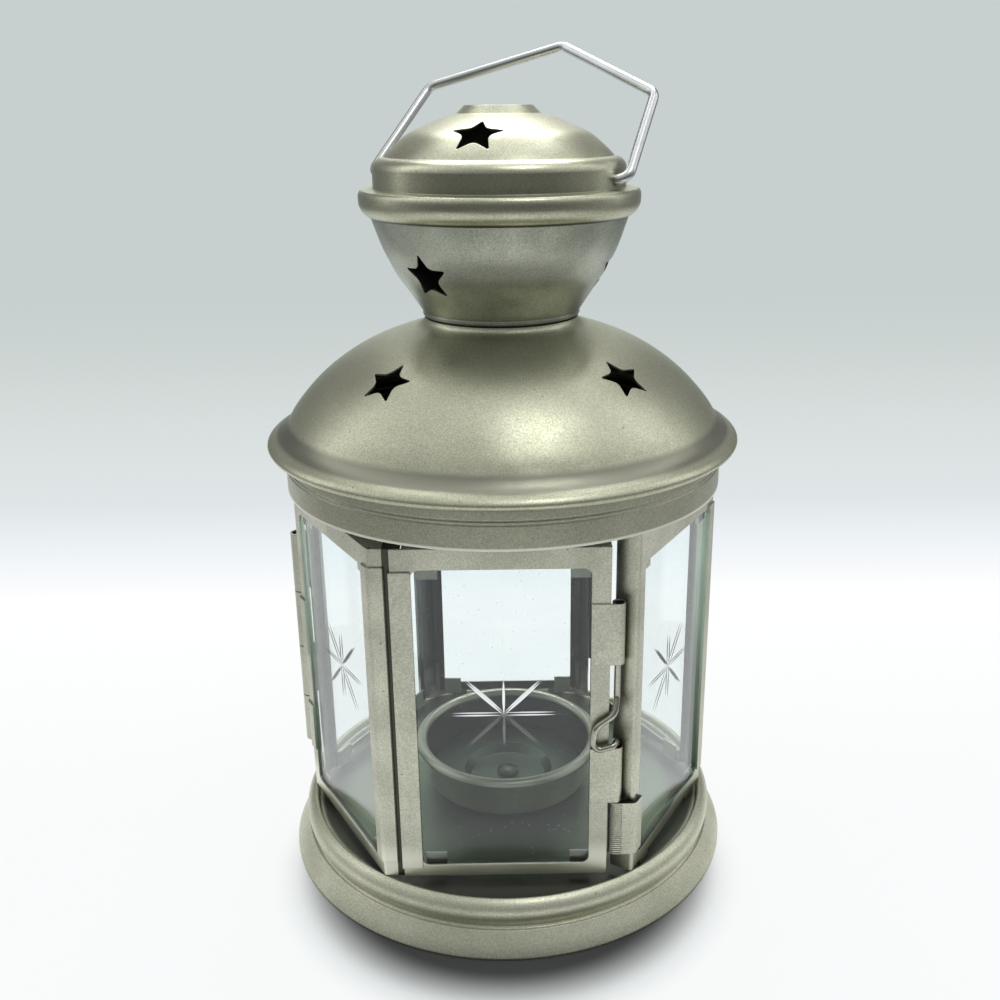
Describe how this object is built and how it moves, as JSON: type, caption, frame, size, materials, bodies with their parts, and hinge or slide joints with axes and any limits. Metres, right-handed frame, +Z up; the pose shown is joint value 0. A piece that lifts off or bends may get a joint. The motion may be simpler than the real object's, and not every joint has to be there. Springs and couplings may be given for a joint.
{
  "type": "candle lantern",
  "caption": "Six-sided sheet-metal tea-light lantern with glass panes, a round base, a domed roof and chimney cap punched with stars, a hinged door and a wire carrying bail.",
  "frame": {"origin": "on the lantern's upright axis, at the surface that the base stands on", "axes": "+Z up along the lantern's axis, -Y out of the door, +X to the right of someone who faces the door"},
  "size_m": [0.13, 0.13, 0.2263],
  "materials": {
    "tin": "satin, fine grained, warm grey",
    "glass": "clear float glass with a faint blue-green tint",
    "latch_wire": "drawn wire",
    "bail_wire": "bright drawn wire",
    "pin_steel": "plain steel"
  },
  "bodies": {
    "body": {"base_pan": "tin", "candle_dish": "tin", "dish_rivet": "pin_steel", "right_frame": "tin", "right_pane": "glass", "rear_right_frame": "tin", "rear_right_pane": "glass", "rear_frame": "tin", "rear_pane": "glass", "rear_left_frame": "tin", "rear_left_pane": "glass", "leaf_hinge_pin": "pin_steel", "rear_hinge_pin": "pin_steel", "top_plate": "tin", "roof_collar": "tin", "roof_dome": "tin", "chimney_bowl": "tin", "chimney_cap": "tin"},
    "leaf": {"left_frame": "tin", "left_pane": "glass", "door_frame": "tin", "door_pane": "glass"},
    "latch": {"latch_bolt": "latch_wire"},
    "bail": {"bail": "bail_wire"}
  },
  "joints": [
    {"name": "leaf_hinge", "type": "hinge", "parent": "body", "child": "leaf", "pos_m": [-0.05914, 0.00036, 0.0635], "axis": [0, 0, -1], "range_deg": [0, 180]},
    {"name": "latch_lift", "type": "slide", "parent": "leaf", "child": "latch", "axis": [0, 0, 1], "range_m": [0, 0.00795]},
    {"name": "bail_swing", "type": "hinge", "parent": "body", "child": "bail", "pos_m": [0, 0, 0.1927], "axis": [0.8721, -0.4894, 0], "range_deg": [-45, 135]}
  ]
}
